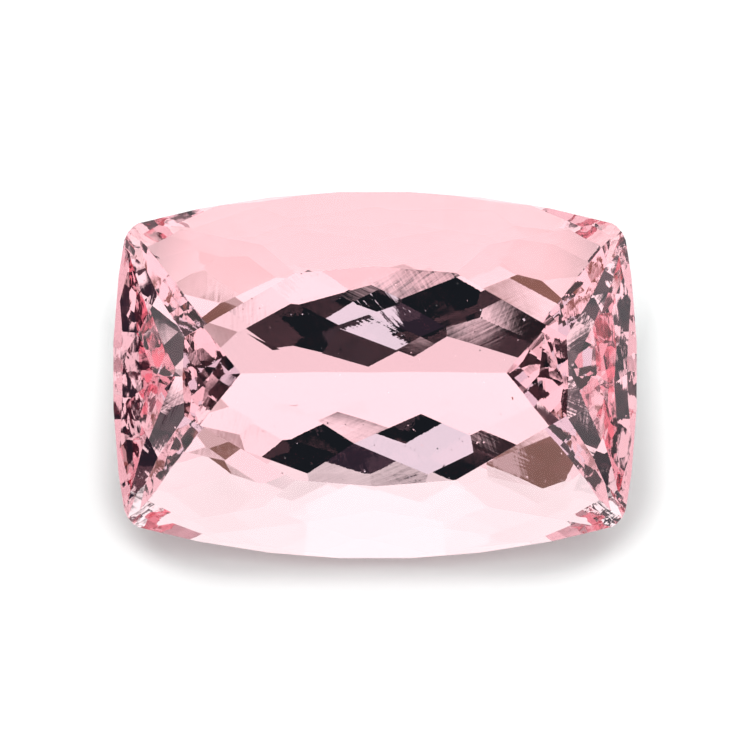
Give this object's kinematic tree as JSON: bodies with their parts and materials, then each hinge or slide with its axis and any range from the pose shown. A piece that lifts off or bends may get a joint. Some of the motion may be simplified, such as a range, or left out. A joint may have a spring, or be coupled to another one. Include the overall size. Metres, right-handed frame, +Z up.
{
  "type": "faceted gemstone",
  "caption": "Clear pale pink cut morganite: long cushion outline, low crown, wide flat table and a pavilion of diamond facets that meet in a keel, lying on a pavilion facet.",
  "frame": {"origin": "middle of the stone's bounding box, on the surface the stone lies on", "axes": "+X along the stone's long axis and its keel; +Z up from the surface; the table leans towards -Y, its normal about 47 degrees from +Z"},
  "size_m": [0.018, 0.0096, 0.0098],
  "materials": {
    "morganite": "polished clear crystal, refractive index about 1.58"
  },
  "bodies": {
    "root": {"gemstone": "morganite"}
  },
  "joints": []
}
